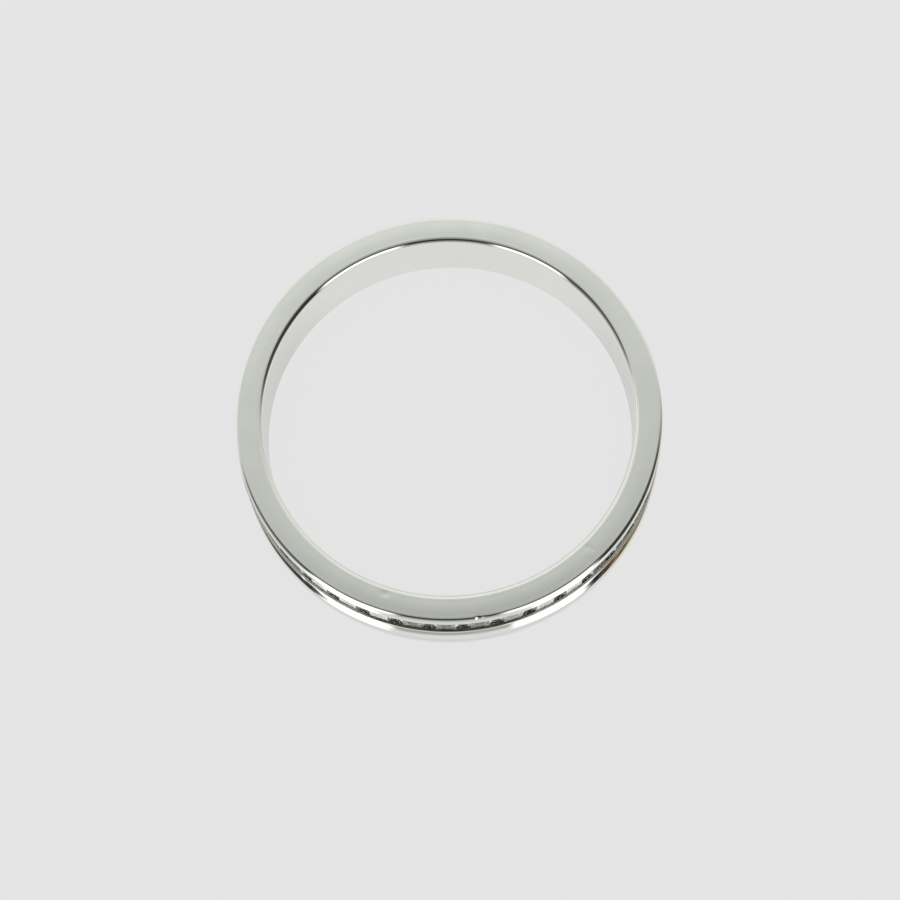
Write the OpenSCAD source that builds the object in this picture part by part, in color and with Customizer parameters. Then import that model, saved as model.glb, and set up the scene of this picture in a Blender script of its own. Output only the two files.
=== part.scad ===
// Slim wedding band that lies on its side, with a channel of square step-cut stones.
// The band's axis is Z, its lower rim is at z = 0 and the middle stone faces -Y.

/* [Band] */
// Inner diameter, which sets the finger size
finger_d = 17; // [15:0.1:21]
// Thickness of the metal from the finger to the outer wall
wall_t = 1.3; // [1.2:0.05:2]
// Height of the band along the finger
band_h = 3.4; // [3.2:0.1:5]
// Rounding of the two inner edges
inner_round = 0.25; // [0.05:0.01:0.3]
// Rounding of the two outer edges
outer_round = 0.17; // [0.05:0.01:0.3]
// How far the middle of the outer wall stands out past its two edges
crown_rise = 0.04; // [0.02:0.01:0.08]

/* [Stones] */
// Number of stones in the row
stone_count = 15; // [3:2:21]
// Width of a stone across its girdle
stone_w = 1.47; // [1.4:0.01:1.5]
// Width of the flat table on top of a stone
table_w = 0.86; // [0.7:0.01:0.9]
// Free way between the girdles of two neighbours
stone_gap = 0.04; // [0.03:0.01:0.1]
// How deep the tables lie below the outer wall
table_sink = 0.09; // [0.06:0.01:0.12]

/* [Channel] */
// Height of the opening between the two lips
opening_h = 1.2; // [1.15:0.01:1.3]
// How far the row lies above the middle of the band
row_rise = 0.55; // [0:0.01:0.6]
// Free way between a stone and the metal around it
seat_gap = 0.04; // [0.03:0.01:0.06]

/* [Hidden] */

finger_r = finger_d / 2;
outer_r = finger_r + wall_t;
row_z = band_h / 2 + row_rise;
// Radius of the arc that crowns the outer wall
crown_r = (pow(band_h / 2, 2) + pow(crown_rise, 2)) / (2 * crown_rise);

// Depths below the table, and half widths, of a stone's crown
table_half = table_w / 2;
girdle_half = stone_w / 2;
step_share = 0.4;
step_half = table_half + step_share * (girdle_half - table_half);
step_depth = 0.06;
crown_depth = 0.17;
girdle_t = 0.03;
girdle_low = crown_depth + girdle_t;
// Levels of its pavilion, each a depth below the girdle and a share of the girdle's half width
upper_pavilion = [0.24, 0.7];
lower_pavilion = [0.45, 0.36];
culet = [0.62, 0.04];
// Cut across each corner of a stone, so that no facet ends in a knife edge
corner_share = 0.08;

table_r = outer_r - table_sink;
girdle_r = table_r - girdle_low;
// Angle from one stone to the next, measured where the girdles come closest
pitch = 2 * atan((girdle_half + stone_gap / 2) / girdle_r);
// Angle of channel left free past the last stone at each end
end_room = 0.7;
row_half_angle = pitch * stone_count / 2 + end_room;
// Extra height of the girdle pocket over the girdle's upper edge
pocket_room = 0.03;
// How far the cut for the channel starts outside the band
cut_reach = 1;
// How far two parts of the section run into each other
overlap = 0.01;
turn_sides = 180;
corner_sides = 64;
crown_sides = 720;

function below_girdle(level) = [girdle_low + level[0], girdle_half * level[1]];

// A stone's levels from the table down, each a depth and a half width
STONE_LEVELS = [
    [0, table_half],
    [step_depth, step_half],
    [crown_depth, girdle_half],
    [girdle_low, girdle_half],
    below_girdle(upper_pavilion),
    below_girdle(lower_pavilion),
    below_girdle(culet),
];

// Eight corners of one level: a square of half width h with its corners cut off
function level_points(depth, h) =
    let (c = h * (1 - 2 * corner_share))
    [for (p = [[h, -c], [h, c], [c, h], [-c, h], [-h, c], [-h, -c], [-c, -h], [c, -h]])
        [p[0], p[1], -depth]];

// Closed body through a list of levels that run from the top down
module stepped_body(levels) {
    sides = 8;
    last = len(levels) - 1;
    points = [for (l = levels) each level_points(l[0], l[1])];
    top = [[for (k = [sides - 1:-1:0]) k]];
    bottom = [[for (k = [0:sides - 1]) last * sides + k]];
    walls = [for (n = [0:last - 1]) for (k = [0:sides - 1])
        let (a = n * sides + k, b = n * sides + (k + 1) % sides)
        [a, b, b + sides, a + sides]];
    polyhedron(points, concat(top, walls, bottom));
}

// Turns a stone's own frame, table up, so that the table faces out at an angle from -Y
module set_in_row(angle) {
    rotate([0, 0, angle]) translate([0, -table_r, row_z]) rotate([90, 0, 0]) children();
}

// Disc that rounds one edge of the section
module section_corner(x, z, r) {
    translate([x, z]) circle(r = r, $fn = corner_sides);
}

// Section of the plain band: flat rims, rounded edges, straight bore and a crowned outer wall
module band_section() {
    intersection() {
        union() {
            translate([finger_r, inner_round])
                square([wall_t / 2, band_h - 2 * inner_round]);
            translate([finger_r + wall_t / 2 - overlap, outer_round])
                square([wall_t / 2 + overlap, band_h - 2 * outer_round]);
            translate([finger_r + inner_round, 0])
                square([wall_t - inner_round - outer_round, band_h]);
            for (z = [inner_round, band_h - inner_round])
                section_corner(finger_r + inner_round, z, inner_round);
            for (z = [outer_round, band_h - outer_round])
                section_corner(outer_r - outer_round, z, outer_round);
        }
        translate([outer_r - crown_r, band_h / 2]) circle(r = crown_r, $fn = crown_sides);
    }
}

// Section of the channel: an opening between two lips, a wider girdle pocket and a narrower floor
module channel_section() {
    lip_half = opening_h / 2;
    lip_r = table_r - step_depth + seat_gap;
    pocket_half = girdle_half + seat_gap;
    pocket_top_r = table_r - crown_depth + seat_gap + pocket_room;
    pocket_low_r = girdle_r - seat_gap;
    floor_half = below_girdle(upper_pavilion)[1] + 2 * seat_gap;
    seat_r = table_r - below_girdle(upper_pavilion)[0] - seat_gap;
    floor_r = table_r - below_girdle(culet)[0] - seat_gap;
    upper = [
        [outer_r + cut_reach, lip_half],
        [lip_r, lip_half],
        [pocket_top_r, pocket_half],
        [pocket_low_r, pocket_half],
        [seat_r, floor_half],
        [floor_r, floor_half],
    ];
    lower = [for (i = [len(upper) - 1:-1:0]) [upper[i][0], -upper[i][1]]];
    translate([0, row_z]) polygon(concat(upper, lower));
}

// The metal: one revolved ring with the channel cut over the front
module band() {
    color("gainsboro") difference() {
        rotate_extrude($fn = turn_sides) band_section();
        rotate([0, 0, -90 - row_half_angle])
            rotate_extrude(angle = 2 * row_half_angle, $fn = turn_sides) channel_section();
    }
}

// One stone of the row, counted from 1 at the -X end
module stone(number) {
    color("lightcyan") set_in_row((number - (stone_count + 1) / 2) * pitch)
        stepped_body(STONE_LEVELS);
}

band();
for (i = [1:stone_count])
    stone(i);
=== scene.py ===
from math import cos, degrees, hypot, pi, radians, sin, sqrt

import bmesh
import bpy
from mathutils import Matrix, Vector


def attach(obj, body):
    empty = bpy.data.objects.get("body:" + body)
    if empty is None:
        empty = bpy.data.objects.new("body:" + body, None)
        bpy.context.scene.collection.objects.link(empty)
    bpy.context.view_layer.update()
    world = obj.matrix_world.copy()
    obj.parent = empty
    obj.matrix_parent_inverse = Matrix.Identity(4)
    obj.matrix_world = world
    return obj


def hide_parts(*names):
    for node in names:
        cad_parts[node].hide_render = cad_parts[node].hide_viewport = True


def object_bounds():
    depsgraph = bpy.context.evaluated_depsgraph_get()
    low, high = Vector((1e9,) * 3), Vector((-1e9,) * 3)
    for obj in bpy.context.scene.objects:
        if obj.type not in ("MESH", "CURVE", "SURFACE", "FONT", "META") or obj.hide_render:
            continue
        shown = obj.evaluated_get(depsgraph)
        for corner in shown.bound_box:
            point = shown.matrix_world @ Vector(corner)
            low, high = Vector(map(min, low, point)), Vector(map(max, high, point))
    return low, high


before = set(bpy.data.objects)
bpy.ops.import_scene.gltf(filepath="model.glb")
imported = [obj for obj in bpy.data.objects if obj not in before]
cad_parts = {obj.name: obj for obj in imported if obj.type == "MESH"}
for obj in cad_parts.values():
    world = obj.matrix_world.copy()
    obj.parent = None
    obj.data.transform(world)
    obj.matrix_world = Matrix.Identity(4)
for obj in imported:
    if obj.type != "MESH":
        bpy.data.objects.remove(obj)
cadLow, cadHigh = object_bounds()
mm = 0.001
print("frame loaded")


# helpers for operators and nodes

def deselectAll():
    if bpy.context.mode != "OBJECT":
        bpy.ops.object.mode_set(mode="OBJECT")
    bpy.ops.object.select_all(action="DESELECT")


def pickOnly(piece):
    deselectAll()
    bpy.context.view_layer.objects.active = piece
    piece.select_set(True)


def enterEdit(piece):
    pickOnly(piece)
    bpy.ops.object.mode_set(mode="EDIT")


def selectVerts(piece, wanted):
    # selects the vertices that the test wants, in edit mode, and says how many there are
    bpy.ops.mesh.select_mode(type="VERT")
    bpy.ops.mesh.select_all(action="DESELECT")
    shape = bmesh.from_edit_mesh(piece.data)
    found = 0
    for vert in shape.verts:
        if wanted(vert.co / mm):
            vert.select = True
            found += 1
    shape.select_flush_mode()
    bmesh.update_edit_mesh(piece.data)
    return found


def addNode(tree, kind, settings=None, **inputs):
    # inputs are named like the sockets, or in0, in1 where names repeat; a value or an output socket
    node = tree.nodes.new(kind)
    for key, value in (settings or {}).items():
        setattr(node, key, value)
    for key, value in inputs.items():
        numbered = key[:2] == "in" and key[2:].isdigit()
        socket = node.inputs[int(key[2:]) if numbered else key.replace("_", " ")]
        if isinstance(value, bpy.types.NodeSocket):
            tree.links.new(value, socket)
        else:
            socket.default_value = value
    return node


def mathNode(tree, operation, *values):
    inputs = {f"in{i}": value for i, value in enumerate(values)}
    return addNode(tree, "ShaderNodeMath", {"operation": operation}, **inputs).outputs[0]


def vectorNode(tree, operation, **inputs):
    return addNode(tree, "ShaderNodeVectorMath", {"operation": operation}, **inputs)


def rangeMask(tree, value, low, high):
    # 0 at low and below, 1 at high and above, soft in between
    node = addNode(tree, "ShaderNodeMapRange", {"interpolation_type": "SMOOTHSTEP"},
                   Value=value, From_Min=low, From_Max=high)
    return node.outputs["Result"]


def rampNode(tree, factor, stops):
    node = addNode(tree, "ShaderNodeValToRGB", Fac=factor)
    elements = node.color_ramp.elements
    while len(elements) < len(stops):
        elements.new(0.5)    # anywhere, because its place is set below
    for element, (position, colour) in zip(elements, stops):
        element.position = position
        element.color = (*colour, 1)
    return node.outputs["Color"]


def mixColours(tree, share, first, second, blend="MIX"):
    settings = {"data_type": "RGBA", "blend_type": blend}
    return addNode(tree, "ShaderNodeMix", settings, in0=share, in6=first, in7=second).outputs[2]


def placeOn(tree):
    return addNode(tree, "ShaderNodeTexCoord").outputs["Object"]


def placeInMm(tree, place):
    return vectorNode(tree, "SCALE", in0=place, Scale=1 / mm).outputs[0]


def sidewaysFrom(tree, place):
    # distance from the plane through the ring's axis and the middle stone
    parts = addNode(tree, "ShaderNodeSeparateXYZ", Vector=place)
    return mathNode(tree, "ABSOLUTE", parts.outputs["X"])


# the camera stands at the photo's angle
camera = {
    "distance": 117.6,       # mm from the ring's middle
    "azimuth": 5.3,          # degrees, as the next two
    "elevation": 71.2,
    "roll": 4.8,
    "focalPixels": 2542,     # focal length in pixels of a 900 pixel frame
    "framePixels": 900,
    "ringLeftPixels": 0.9,   # how far left of the frame's middle the ring's lies,
    "ringUpPixels": 24.3,    # and how far above it
    "sensor": 36,            # mm
    "clipNear": 0.002,       # metres, as the next one
    "clipFar": 20,
}


def makeCamera(s):
    az, el = radians(s["azimuth"]), radians(s["elevation"])
    back = Vector((sin(az) * cos(el), -cos(az) * cos(el), sin(el)))
    aim = Vector((0, 0, (cadLow.z + cadHigh.z) / 2))
    bpy.ops.object.camera_add(location=aim + back * s["distance"] * mm)
    eye = bpy.context.active_object
    eye.name = "photoCamera"
    turned = back.to_track_quat("Z", "Y").to_matrix() @ Matrix.Rotation(radians(-s["roll"]), 3, "Z")
    eye.rotation_euler = turned.to_euler()
    lens = eye.data
    lens.sensor_width = s["sensor"]
    lens.lens = s["focalPixels"] / s["framePixels"] * s["sensor"]
    lens.shift_x = s["ringLeftPixels"] / s["framePixels"]
    lens.shift_y = -s["ringUpPixels"] / s["framePixels"]
    lens.clip_start, lens.clip_end = s["clipNear"], s["clipFar"]
    lens.dof.use_dof = False
    bpy.context.scene.camera = eye


deselectAll()
makeCamera(camera)
print("camera placed")


# the band, spun from two sections, with the stone channel in the front one; millimetres and degrees
band = {
    "fingerR": 8.5,
    "outerR": 9.8,
    "height": 3.4,
    "crownRise": 0.04,
    "rimSag": 0.008,         # how far the upper rim falls from its middle to its edges
    "innerRound": 0.25,
    "outerRound": 0.17,
    "lipRound": 0.03,
    "roundSteps": 9,
    "lipSteps": 3,
    "rowZ": 2.25,
    "frontAngle": -90,       # from +X to the middle stone
    "rowHalfAngle": 68.79,
    "lipHalf": 0.6,
    # the channel's corners below the lip, each a radius and a half height
    "channel": [(9.69, 0.6), (9.61, 0.775), (9.47, 0.775), (9.23, 0.5945), (8.85, 0.5945)],
    # where the outer wall has points below, above and, on the plain back, beside the row
    "lowerWall": [0.3, 0.5, 0.7, 0.9, 1.1, 1.3, 1.5],
    "upperWall": [2.95, 3.05, 3.15],
    "plainSteps": 6,
    # points across the upper rim, as shares of its half width, and how far they keep from its rounding
    "rimShares": (1, 0.66, 0.33, 0, -0.33, -0.66, -1),
    "rimMargin": 0.03,
    "boreMargin": 0.35,      # how far the bore's first and last point keep from the rims
    "boreCuts": 22,
    "cornerReach": 0.005,    # a point this near to a corner's place is that corner
    "mergeReach": 0.002,     # points this near to each other become one
    "smoothAngle": 35,
    "stepAngle": 0.5,        # between two sections
}


def crownRadius(s, z):
    half, rise = s["height"] / 2, s["crownRise"]
    arcR = (half ** 2 + rise ** 2) / (2 * rise)
    return s["outerR"] - arcR + sqrt(arcR ** 2 - (z - half) ** 2)


def bandOutline(s, withChannel):
    # runs from the bore's foot round the outside to the bore's top, then down the bore
    height, inner = s["height"], s["fingerR"]
    points = [(inner, 0), (crownRadius(s, 0), 0)]
    low, high = s["rowZ"] - s["lipHalf"], s["rowZ"] + s["lipHalf"]
    points += [(crownRadius(s, z), z) for z in s["lowerWall"]]
    if withChannel:
        points.append((crownRadius(s, low), low))
        points += [(r, s["rowZ"] - h) for r, h in s["channel"]]
        points += [(r, s["rowZ"] + h) for r, h in reversed(s["channel"])]
        points.append((crownRadius(s, high), high))
    else:
        levels = [low + (high - low) * i / s["plainSteps"] for i in range(s["plainSteps"] + 1)]
        points += [(crownRadius(s, z), z) for z in levels]
    points += [(crownRadius(s, z), z) for z in s["upperWall"]]
    edgeR = crownRadius(s, height)
    points.append((edgeR, height - s["rimSag"]))
    flatIn = inner + s["innerRound"] + s["rimMargin"]
    flatOut = edgeR - s["outerRound"] - s["rimMargin"]
    for share in s["rimShares"]:
        across = (flatIn + flatOut) / 2 + (flatOut - flatIn) / 2 * share
        points.append((across, height - s["rimSag"] * share ** 2))
    points.append((inner, height - s["rimSag"]))
    for i in range(s["boreCuts"] + 1):
        down = (height - 2 * s["boreMargin"]) * i / s["boreCuts"]
        points.append((inner, height - s["boreMargin"] - down))
    return points


def drawSection(name, s, withChannel):
    # a plane shrunk to one vertex, drawn out point by point, filled and rounded at its corners
    points = bandOutline(s, withChannel)
    seed = 0.1 * mm
    first = Vector((points[0][0], 0, points[0][1])) * mm
    deselectAll()
    bpy.ops.mesh.primitive_plane_add(size=seed, location=first)
    piece = bpy.context.active_object
    piece.name = name
    bpy.ops.object.transform_apply(location=True, rotation=True, scale=True)
    enterEdit(piece)
    bpy.ops.mesh.select_mode(type="VERT")
    bpy.ops.mesh.select_all(action="SELECT")
    bpy.ops.mesh.merge(type="CENTER")
    for before, after in zip(points, points[1:]):
        move = ((after[0] - before[0]) * mm, 0, (after[1] - before[1]) * mm)
        bpy.ops.mesh.extrude_region_move(TRANSFORM_OT_translate={"value": move})
    bpy.ops.mesh.select_all(action="SELECT")
    bpy.ops.mesh.edge_face_add()
    height, edgeR = s["height"], crownRadius(s, s["height"])
    corners = [
        ([(s["fingerR"], 0), (s["fingerR"], height - s["rimSag"])], s["innerRound"], s["roundSteps"]),
        ([(edgeR, 0), (edgeR, height - s["rimSag"])], s["outerRound"], s["roundSteps"]),
    ]
    if withChannel:
        lips = [s["rowZ"] - s["lipHalf"], s["rowZ"] + s["lipHalf"]]
        corners.append(([(crownRadius(s, z), z) for z in lips], s["lipRound"], s["lipSteps"]))
    for places, size, steps in corners:
        selectVerts(piece, lambda p: any(hypot(p.x - x, p.z - z) < s["cornerReach"] for x, z in places))
        bpy.ops.mesh.bevel(affect="VERTICES", offset=size * mm, segments=steps, profile=0.5)
    bpy.ops.mesh.select_all(action="SELECT")
    bpy.ops.mesh.delete(type="ONLY_FACE")
    deselectAll()
    return piece


def spinSection(piece, startAngle, sweep, stepAngle):
    piece.rotation_euler = (0, 0, radians(startAngle))
    pickOnly(piece)
    bpy.ops.object.transform_apply(location=True, rotation=True, scale=True)
    enterEdit(piece)
    bpy.ops.mesh.select_all(action="SELECT")
    # a positive spin about +Z turns clockwise seen from above, so the axis points down
    bpy.ops.mesh.spin(steps=round(sweep / stepAngle), angle=radians(sweep),
                      center=(0, 0, 0), axis=(0, 0, -1))
    deselectAll()


def makeBand(s):
    middle, half = s["frontAngle"], s["rowHalfAngle"]
    front = drawSection("white_gold_band", s, True)
    spinSection(front, middle - half, 2 * half, s["stepAngle"])
    back = drawSection("bandBack", s, False)
    spinSection(back, middle + half, 360 - 2 * half, s["stepAngle"])
    pickOnly(front)
    back.select_set(True)
    bpy.ops.object.join()
    enterEdit(front)
    bpy.ops.mesh.select_mode(type="VERT")
    bpy.ops.mesh.select_all(action="SELECT")
    bpy.ops.mesh.remove_doubles(threshold=s["mergeReach"] * mm)
    # the two open ends of the channel are filled
    bpy.ops.mesh.select_all(action="DESELECT")
    bpy.ops.mesh.select_non_manifold(use_wire=False, use_multi_face=False,
                                     use_non_contiguous=False, use_verts=False)
    bpy.ops.mesh.fill()
    bpy.ops.mesh.select_all(action="SELECT")
    bpy.ops.mesh.normals_make_consistent(inside=False)
    bpy.ops.mesh.select_all(action="DESELECT")
    bpy.ops.mesh.select_non_manifold()
    left = sum(v.select for v in bmesh.from_edit_mesh(front.data).verts)
    pickOnly(front)
    bpy.ops.object.shade_smooth_by_angle(angle=radians(s["smoothAngle"]))
    print("band spun,", len(front.data.polygons), "faces,", left, "open vertices")
    return front


# small marks of wear and six plain round punches in the bore; a mark is (angle, radius, height),
# (move out, move up) and size, in millimetres and degrees
wear = {
    "marks": [
        ((-81.2, 9.74, 3.37), (-0.03, -0.02), 0.13),      # nicks on the outer edge
        ((-79.6, 9.75, 3.36), (-0.025, -0.015), 0.11),
        ((-108.4, 8.93, 3.4), (0, -0.009), 0.14),         # a short scratch on the rim
        ((-107.6, 8.92, 3.4), (0, -0.010), 0.14),
        ((-106.8, 8.93, 3.4), (0, -0.009), 0.14),
        ((-45.1, 8.95, 3.4), (0, -0.008), 0.16),          # a scuff on the rim
        ((-44.3, 9.1, 3.4), (0, -0.006), 0.14),
        ((-131.5, 9.79, 1.62), (-0.02, -0.02), 0.12),     # a knock on the lower lip
    ],
    "punchAngles": [79.7, 87.3, 112.3, 138.0, 149.5, 156.3],
    "punchHeight": 1.6,
    "punchDepth": 0.022,
    "punchSize": 0.2,
    "coreShare": 0.55,       # share of a mark's size that moves in full
}


def pressIn(piece, place, move, size, coreShare):
    # nudges the skin around one place, fading out smoothly; angles count from +X
    angle, radius, height = place
    side = Vector((cos(radians(angle)), sin(radians(angle)), 0))
    middle = side * radius + Vector((0, 0, height))
    enterEdit(piece)
    found = selectVerts(piece, lambda p: (p - middle).length < size * coreShare)
    if found:
        shift = (side * move[0] + Vector((0, 0, move[1]))) * mm
        bpy.ops.transform.translate(value=shift, use_proportional_edit=True, use_proportional_connected=True,
                                    proportional_edit_falloff="SMOOTH", proportional_size=size * mm)
    deselectAll()
    return found


def wearBand(piece, s):
    moved = 0
    for place, move, size in s["marks"]:
        moved += pressIn(piece, place, move, size, s["coreShare"])
    for angle in s["punchAngles"]:
        place = (angle, band["fingerR"], s["punchHeight"])
        moved += pressIn(piece, place, (s["punchDepth"], 0), s["punchSize"], s["coreShare"])
    print("wear pressed in,", moved, "vertices picked")


bandPiece = makeBand(band)
wearBand(bandPiece, wear)
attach(bandPiece, "root")
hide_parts("band")


# materials of the metal and the stones, all made of nodes

def newMaterial(name):
    material = bpy.data.materials.new(name)
    material.use_nodes = True
    tree = material.node_tree
    return material, tree, tree.nodes["Principled BSDF"]


def newGroup(name, inputs, outputs):
    # a shader node group with named sockets; returns it with its two end nodes
    group = bpy.data.node_groups.new(name, "ShaderNodeTree")
    for label, value in inputs:
        socket = group.interface.new_socket(name=label, in_out="INPUT", socket_type="NodeSocketFloat")
        socket.default_value = value
    for label in outputs:
        group.interface.new_socket(name=label, in_out="OUTPUT", socket_type="NodeSocketFloat")
    return group, group.nodes.new("NodeGroupInput"), group.nodes.new("NodeGroupOutput")


def makeRingWear():
    # streaks of grain that follow the finger's turn, a soft haze and rare fine scratches
    group, start, end = newGroup("ringWear", [("Grain Size", 20.0), ("Stretch", 0.05)],
                                 ["Grain", "Haze", "Scratches"])
    place = placeOn(group)
    parts = addNode(group, "ShaderNodeSeparateXYZ", Vector=place)
    flat = addNode(group, "ShaderNodeCombineXYZ", X=parts.outputs["X"], Y=parts.outputs["Y"]).outputs[0]
    outwards = vectorNode(group, "LENGTH", in0=flat).outputs["Value"]
    outwards = mathNode(group, "MULTIPLY", outwards, 1 / mm)
    up = mathNode(group, "MULTIPLY", parts.outputs["Z"], 1 / mm)
    # the unit circle point stands for the way round, so that the pattern has no seam
    side = vectorNode(group, "NORMALIZE", in0=flat).outputs[0]
    spread = vectorNode(group, "SCALE", in0=side, Scale=start.outputs["Stretch"]).outputs[0]
    across = addNode(group, "ShaderNodeCombineXYZ", Z=mathNode(group, "ADD", outwards, up)).outputs[0]
    circleSize = 9
    turned = vectorNode(group, "MULTIPLY_ADD", in0=spread, in1=(circleSize,) * 3, in2=across).outputs[0]
    grain = addNode(group, "ShaderNodeTexNoise", {"noise_dimensions": "3D"}, Vector=turned,
                    Scale=start.outputs["Grain Size"], Detail=3.0, Roughness=0.6)
    real = placeInMm(group, place)
    haze = addNode(group, "ShaderNodeTexNoise", Vector=real, Scale=0.55, Detail=4.0, Roughness=0.55)
    bent = addNode(group, "ShaderNodeTexNoise", Vector=real, Scale=0.9, Detail=2.0)
    lines = addNode(group, "ShaderNodeTexNoise", Vector=bent.outputs["Color"], Scale=26.0, Detail=1.0)
    # a scratch is where the noise crosses its middle
    noiseMiddle, lineWidth = 0.5, 0.006
    hazeFrom, hazeFull = 0.3, 0.7
    thin = mathNode(group, "ABSOLUTE", mathNode(group, "SUBTRACT", lines.outputs[0], noiseMiddle))
    group.links.new(grain.outputs[0], end.inputs["Grain"])
    group.links.new(rangeMask(group, haze.outputs[0], hazeFrom, hazeFull), end.inputs["Haze"])
    group.links.new(rangeMask(group, thin, lineWidth, 0.0), end.inputs["Scratches"])
    return group


ringWear = makeRingWear()

# each finish of the band: tone and roughness from clean to hazed, what a scratch adds to the
# roughness, grain size and stretch, bump
finishes = {
    "polishedWhiteGold": {
        "tone": (0.872, 0.884, 0.837), "worn": (0.855, 0.868, 0.815), "rough": (0.04, 0.065),
        "scratchRough": 0.1, "grain": 9.0, "stretch": 0.04, "bump": 0.035, "bumpMm": 0.004,
    },
    "satinWhiteGold": {
        "tone": (0.838, 0.864, 0.805), "worn": (0.812, 0.842, 0.775), "rough": (0.26, 0.3),
        "scratchRough": -0.015, "grain": 16.0, "stretch": 0.06, "bump": 0.06, "bumpMm": 0.006,
    },
    "shadedRecess": {
        "tone": (0.78, 0.79, 0.72), "worn": (0.66, 0.68, 0.59), "rough": (0.12, 0.25),
        "scratchRough": 0.1, "grain": 12.0, "stretch": 0.1, "bump": 0.1, "bumpMm": 0.01,
    },
    # the channel's two ledges carry a painted shade, the dark line under the row
    "paintedShadeLedge": {
        "tone": (0.17, 0.19, 0.12), "worn": (0.26, 0.28, 0.19), "rough": (0.3, 0.42),
        "scratchRough": 0.1, "grain": 12.0, "stretch": 0.1, "bump": 0.1, "bumpMm": 0.01,
        # painted shade: the dark tone lies at the front and thins out between these two distances to the
        # side, in mm
        "unshadedLedgeTone": (0.86, 0.86, 0.81), "ledgeShadeFrom": 2.9, "ledgeShadeTo": 4.2,
    },
}


def whiteMetal(name, s):
    material, tree, shader = newMaterial(name)
    wornIn = addNode(tree, "ShaderNodeGroup", {"node_tree": ringWear},
                     Grain_Size=s["grain"], Stretch=s["stretch"])
    tones = rampNode(tree, wornIn.outputs["Haze"], [(0, s["tone"]), (1, s["worn"])])
    # painted shade on the ledges: dark at the front, giving way to a plain metal tone to the sides
    if "unshadedLedgeTone" in s:
        sideways = sidewaysFrom(tree, placeOn(tree))
        unshaded = rangeMask(tree, sideways, s["ledgeShadeFrom"] * mm, s["ledgeShadeTo"] * mm)
        tones = mixColours(tree, unshaded, tones, (*s["unshadedLedgeTone"], 1))
    low, high = s["rough"]
    rough = mathNode(tree, "MULTIPLY_ADD", wornIn.outputs["Haze"], high - low, low)
    rough = mathNode(tree, "MULTIPLY_ADD", wornIn.outputs["Scratches"], s["scratchRough"], rough)
    bump = addNode(tree, "ShaderNodeBump", Strength=s["bump"], Distance=s["bumpMm"] * mm,
                   Height=wornIn.outputs["Grain"])
    shader.inputs["Metallic"].default_value = 1
    tree.links.new(tones, shader.inputs["Base Color"])
    tree.links.new(rough, shader.inputs["Roughness"])
    tree.links.new(bump.outputs[0], shader.inputs["Normal"])
    return material


bandPiece.data.materials.clear()
for name, values in finishes.items():
    bandPiece.data.materials.append(whiteMetal(name, values))


def finishOf(face, s):
    # 0 polished, 1 satin on the flat rims, 2 the shaded inside of the channel, 3 its two ledges, painted
    # dark as shade
    middle, facing = face.center / mm, face.normal
    # the skin of the rims and the bore is this thick; slack takes in faces on a limit
    flatFacing, skin, slack = 0.985, 0.1, 0.01
    if abs(facing.z) > flatFacing and (middle.z < skin or middle.z > s["height"] - skin):
        return 1
    outwards = hypot(middle.x, middle.y)
    ledgeR, pocketHalf = s["channel"][0][0], s["channel"][1][1]
    inRow = abs(middle.z - s["rowZ"]) < pocketHalf + slack
    if inRow and s["fingerR"] + skin < outwards < s["outerR"] - s["lipRound"] - slack:
        return 3 if outwards > ledgeR - slack else 2
    return 0


for face in bandPiece.data.polygons:
    face.material_index = finishOf(face, band)


stones = {
    "tone": (0.975, 0.985, 0.965),
    "tint": (0.93, 0.955, 0.90),
    "tintNoise": (0.35, 0.65),
    "index": 2.417,
    "smudge": 0.03,          # roughness of the haziest spots
    "smudgeNoise": (0.5, 0.75),
    "clearness": 0.94,       # share of the light that passes; the rest is a pale film of dust and soap
}


def stoneGlass(s):
    # faint tint and finger haze that change from stone to stone
    material, tree, shader = newMaterial("clearStone")
    real = placeInMm(tree, placeOn(tree))
    wide = addNode(tree, "ShaderNodeTexNoise", Vector=real, Scale=0.5, Detail=2.0).outputs[0]
    tint = rampNode(tree, rangeMask(tree, wide, *s["tintNoise"]), [(0, s["tone"]), (1, s["tint"])])
    fine = addNode(tree, "ShaderNodeTexNoise", Vector=real, Scale=2.2, Detail=4.0).outputs[0]
    rough = mathNode(tree, "MULTIPLY", rangeMask(tree, fine, *s["smudgeNoise"]), s["smudge"])
    tree.links.new(tint, shader.inputs["Base Color"])
    tree.links.new(rough, shader.inputs["Roughness"])
    shader.inputs["IOR"].default_value = s["index"]
    shader.inputs["Transmission Weight"].default_value = s["clearness"]
    return material


clearStone = stoneGlass(stones)
for name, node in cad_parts.items():
    if name.startswith("stone"):
        node.data.materials.clear()
        node.data.materials.append(clearStone)
print("materials assigned")


# studio: a pale table and a soft light tent around it
windowTone = 1.35            # the tent's bright windows

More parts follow.
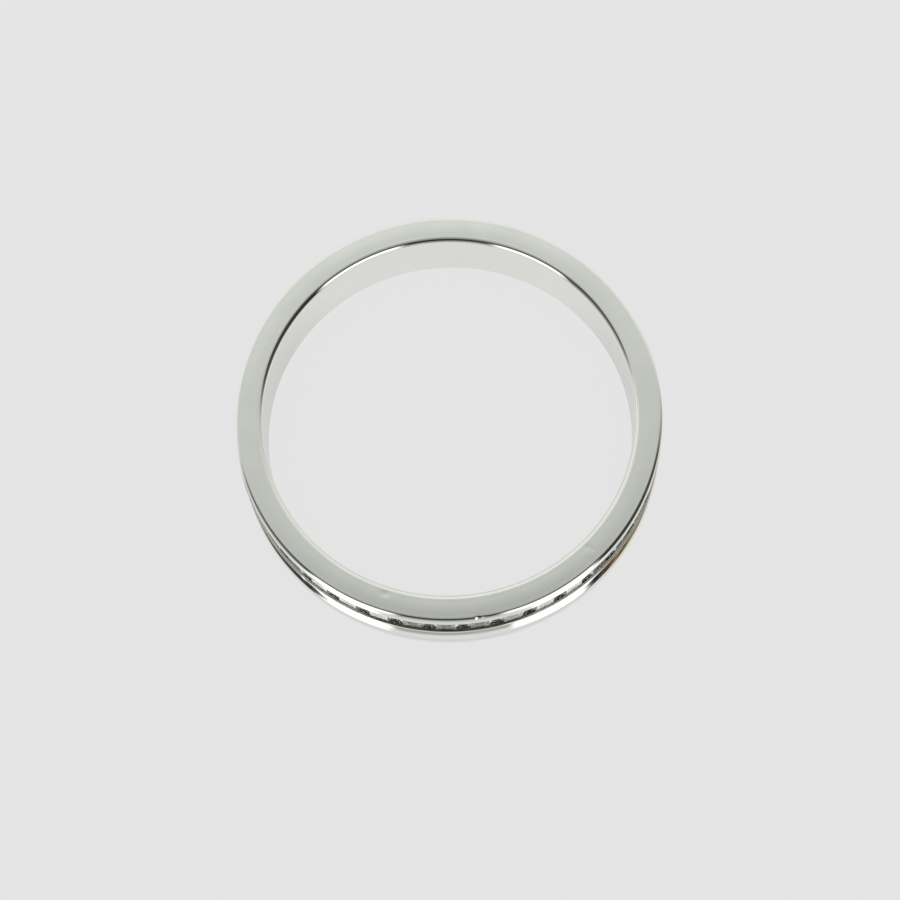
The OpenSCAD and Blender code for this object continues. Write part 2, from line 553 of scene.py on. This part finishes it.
studio = {
    "tableTone": 0.8,
    "domeTone": 0.979,
    "backdropTone": 0.783,
    "tableGlow": 0.96,       # share of the table's tone that comes through it from below
    "tableReach": 3,         # metres
    "tableDrop": 0.01,       # mm; how far the table lies under the ring
    "clearRadius": 9.0,      # mm; past it the tent below the table is what the metal mirrors
    # soft contact shade at the foot, in mm: its rim, how far past and within it the shade fades, how
    # far it leans to the front, and where it starts outside the finger hole
    "shadeRadius": 9.72,
    "shadeEdge": (0.09, -0.05),
    "shadeLean": 0.12,
    "shadeStart": (8.9, 9.1),
    "shadeTone": 0.82,
    "sideFrom": 4.5,         # mm; how the table darkens in the bore's two sides
    "sideTo": 8.3,
    "sideTone": 0.84,
    # Each band of the tent starts at its first height, is full at its second, and has tones by the angle
    # from the camera's side, minus to the left. The low bands' heights count from where an upright wall
    # mirrors the camera's sight, the high bands' from level; each is laid over the ones before it.
    "wallAngle": 71.2,       # how far below level the wall mirrors it at the back,
    "wallSwing": 4.4,        # and how much farther in front, where the wall is nearer to the camera
    "low": [
        (-90, -90, [(-180, 0.7), (-140, 0.74), (0, 0.765), (140, 0.74), (180, 0.7)]),
        (-4.3, -3.8, [(-180, 0.72), (-150, 0.72), (-145, (0.2, 0.15, 0.08)), (-116, (0.05, 0.04, 0.02)),
                      (-108, windowTone), (-60, windowTone), (-55, 0.76), (32, 0.76),
                      (37, windowTone), (92, windowTone), (97, 0.02), (110, 0.02),
                      (116, (0.16, 0.1, 0.04)), (146, (0.42, 0.33, 0.17)), (156, 0.7), (180, 0.72)]),
        (-2.7, -2.2, [(-180, 0.7), (-170, 0.3), (-160, (0.13, 0.11, 0.06)), (-125, (0.06, 0.05, 0.03)),
                      (-102, 0.03), (-96, windowTone), (-52, windowTone), (-46, 0.39), (28, 0.39),
                      (33, windowTone), (84, windowTone), (89, 0.02), (98, 0.02),
                      (104, (0.13, 0.09, 0.04)), (142, (0.3, 0.24, 0.13)), (152, 0.6), (180, 0.7)]),
        (1.0, 1.8, [(-180, 0.75), (-82, 0.75), (-77, windowTone), (-49, windowTone), (-45, 0.72),
                    (35, 0.72), (39, windowTone), (70, windowTone), (75, 0.75), (180, 0.75)]),
    ],
    "high": [
        (-64, -54, [(-180, 0.87), (-125, 0.88), (-107, 0.88), (-98, 0.75), (-68, 0.75), (-62, windowTone),
                    (-36, windowTone), (-31, 0.66), (20, 0.66), (25, windowTone), (54, windowTone),
                    (60, 0.7), (99, 0.7), (104, 0.35), (109, 0.35), (117, 0.7), (140, 0.85),
                    (180, 0.87)]),
        (-24, -8, [(-180, 0.84), (-125, 0.9), (-107, 0.9), (-99, 0.7), (-92, 0.5), (-60, 0.42),
                   (-54, windowTone), (-28, windowTone), (-24, 0.48), (12, 0.48), (16, windowTone),
                   (47, windowTone), (52, (0.06, 0.05, 0.02)), (94, (0.14, 0.11, 0.05)), (107, 0.55),
                   (130, 0.86), (180, 0.84)]),
        (8, 20, [(-180, 0.88), (-125, 0.9), (-112, 0.88), (-104, 0.7), (-95, 0.3), (-60, 0.2),
                 (-55, windowTone), (-27, windowTone), (-23, 0.28), (12, 0.28), (16, windowTone),
                 (49, windowTone), (54, 0.03), (94, 0.08), (108, 0.55), (132, 0.88), (180, 0.88)]),
        (28, 38, [(-180, 0.9), (-125, 0.86), (-114, 0.66), (-108, 0.6), (-99, 0.08), (-62, 0.04),
                  (-57, windowTone), (-29, windowTone), (-25, 0.02), (12, 0.02), (17, windowTone),
                  (51, windowTone), (56, 0.02), (97, 0.06), (109, 0.55), (180, 0.9)]),
        (44, 51, [(-180, 0.95), (-125, 0.72), (-112, 0.6), (-101, 0.1), (0, 0.03), (99, 0.06),
                  (112, 0.55), (180, 0.95)]),
        (60, 84, [(-180, 0.35), (180, 0.35)]),
    ],
    # broken brown streaks in the dark part on the right: the angles where they start, are full and
    # end, the wall heights where they end and are full, and the noise and tones that make them
    "streakAngles": (92, 104, 158),
    "streakHeights": (1.5, 0.5),
    "streakScale": 34.0,
    "streakNoise": (0.36, 0.64),
    "streakTones": [(0, (0.15, 0.12, 0.1)), (0.5, (0.9, 0.8, 0.7)), (1, (2.4, 2.0, 1.5))],
}


def shareOfTurn(angle):
    return (angle + 180) / 360


def aroundRamp(tree, around, tones):
    stops = []
    for angle, tone in tones:
        colour = (tone,) * 3 if isinstance(tone, (int, float)) else tone
        stops.append((shareOfTurn(angle), colour))
    return rampNode(tree, around, stops)


def layBands(tree, colour, around, height, bands):
    for low, high, tones in bands:
        ramp = aroundRamp(tree, around, tones)
        if colour is None:
            colour = ramp
        else:
            colour = mixColours(tree, rangeMask(tree, height, low, high), colour, ramp)
    return colour


def makeWorld(s, cameraAzimuth):
    world = bpy.data.worlds.new("lightTent")
    bpy.context.scene.world = world
    world.use_nodes = True
    tree = world.node_tree
    tree.nodes.clear()
    place = addNode(tree, "ShaderNodeTexCoord").outputs["Generated"]
    turned = addNode(tree, "ShaderNodeVectorRotate", {"rotation_type": "Z_AXIS"},
                     Vector=place, Angle=radians(-cameraAzimuth)).outputs[0]
    parts = addNode(tree, "ShaderNodeSeparateXYZ", Vector=turned)
    forward = mathNode(tree, "MULTIPLY", parts.outputs["Y"], -1)
    angle = mathNode(tree, "ARCTAN2", parts.outputs["X"], forward)
    around = mathNode(tree, "MULTIPLY_ADD", angle, 0.5 / pi, 0.5)
    height = mathNode(tree, "ARCSINE", parts.outputs["Z"])
    height = mathNode(tree, "MULTIPLY", height, degrees(1))
    swing = mathNode(tree, "COSINE", mathNode(tree, "MULTIPLY", angle, 0.5))
    wallHeight = mathNode(tree, "MULTIPLY_ADD", swing, s["wallSwing"], height)
    wallHeight = mathNode(tree, "ADD", wallHeight, s["wallAngle"])
    colour = layBands(tree, None, around, wallHeight, s["low"])
    speck = addNode(tree, "ShaderNodeTexNoise", Vector=turned, Scale=s["streakScale"],
                    Detail=3.0, Roughness=0.7).outputs[0]
    streak = rampNode(tree, rangeMask(tree, speck, *s["streakNoise"]), s["streakTones"])
    darkFrom, darkFull, darkEnd = [shareOfTurn(angle) for angle in s["streakAngles"]]
    inDark = mathNode(tree, "MULTIPLY", rangeMask(tree, around, darkFrom, darkFull),
                      rangeMask(tree, wallHeight, *s["streakHeights"]))
    inDark = mathNode(tree, "MULTIPLY", inDark, rangeMask(tree, around, darkEnd, darkFull))
    colour = mixColours(tree, inDark, colour, streak, "MULTIPLY")
    colour = layBands(tree, colour, around, height, s["high"])
    # the camera sees a plain backdrop, matt surfaces an even dome, and polished ones the tent
    path = addNode(tree, "ShaderNodeLightPath")
    tent = addNode(tree, "ShaderNodeBackground", Color=colour, Strength=1.0)
    dome = addNode(tree, "ShaderNodeBackground", Color=(*(s["domeTone"],) * 3, 1), Strength=1.0)
    drop = addNode(tree, "ShaderNodeBackground", Color=(*(s["backdropTone"],) * 3, 1), Strength=1.0)
    soft = addNode(tree, "ShaderNodeMixShader", in0=path.outputs["Is Diffuse Ray"],
                   in1=tent.outputs[0], in2=dome.outputs[0])
    seen = addNode(tree, "ShaderNodeMixShader", in0=path.outputs["Is Camera Ray"],
                   in1=soft.outputs[0], in2=drop.outputs[0])
    addNode(tree, "ShaderNodeOutputWorld", Surface=seen.outputs[0])
    world.cycles.sampling_method = "NONE"


def makeTable(s, frontAzimuth):
    deselectAll()
    bpy.ops.mesh.primitive_plane_add(size=s["tableReach"], location=(0, 0, -s["tableDrop"] * mm))
    table = bpy.context.active_object
    table.name = "paleTable"
    bpy.ops.object.transform_apply(location=True, rotation=True, scale=True)
    material, tree, shader = newMaterial("paleTableTop")
    place = placeOn(tree)
    lean = s["shadeLean"] * mm
    middle = (sin(radians(frontAzimuth)) * lean, -cos(radians(frontAzimuth)) * lean, 0)
    shadeReach = vectorNode(tree, "DISTANCE", in0=place, in1=middle).outputs["Value"]
    outer, inner = [(s["shadeRadius"] + edge) * mm for edge in s["shadeEdge"]]
    startLow, startHigh = [radius * mm for radius in s["shadeStart"]]
    shade = rangeMask(tree, shadeReach, outer, inner)
    shade = mathNode(tree, "MULTIPLY", shade, rangeMask(tree, shadeReach, startLow, startHigh))
    keep = mathNode(tree, "MULTIPLY_ADD", shade, s["shadeTone"] - 1, 1)
    shader.inputs["Roughness"].default_value = 0.9
    shader.inputs["Specular IOR Level"].default_value = 0
    tone = vectorNode(tree, "SCALE", in0=(s["tableTone"],) * 3, Scale=keep)
    tree.links.new(tone.outputs[0], shader.inputs["Base Color"])
    # the bore's two sides mirror a slightly shaded table
    path = addNode(tree, "ShaderNodeLightPath")
    sideShade = rangeMask(tree, sidewaysFrom(tree, place), s["sideFrom"] * mm, s["sideTo"] * mm)
    sideShade = mathNode(tree, "MULTIPLY", sideShade, path.outputs["Is Glossy Ray"])
    sideKeep = mathNode(tree, "MULTIPLY_ADD", sideShade, s["sideTone"] - 1, 1)
    glow = addNode(tree, "ShaderNodeEmission", Color=(*(s["backdropTone"],) * 3, 1),
                   Strength=mathNode(tree, "MULTIPLY", keep, sideKeep))
    lit = addNode(tree, "ShaderNodeMixShader", in0=s["tableGlow"],
                  in1=shader.outputs[0], in2=glow.outputs[0])
    reach = vectorNode(tree, "LENGTH", in0=place).outputs["Value"]
    outside = mathNode(tree, "GREATER_THAN", reach, s["clearRadius"] * mm)
    openShare = mathNode(tree, "MULTIPLY", path.outputs["Is Glossy Ray"], outside)
    clear = addNode(tree, "ShaderNodeBsdfTransparent")
    mix = addNode(tree, "ShaderNodeMixShader", in0=openShare, in1=lit.outputs[0], in2=clear.outputs[0])
    tree.links.new(mix.outputs[0], tree.nodes["Material Output"].inputs["Surface"])
    table.data.materials.append(material)


makeWorld(studio, camera["azimuth"])
makeTable(studio, camera["azimuth"])
look = bpy.context.scene.view_settings
look.view_transform = "Standard"
look.look = "None"
print("studio built")
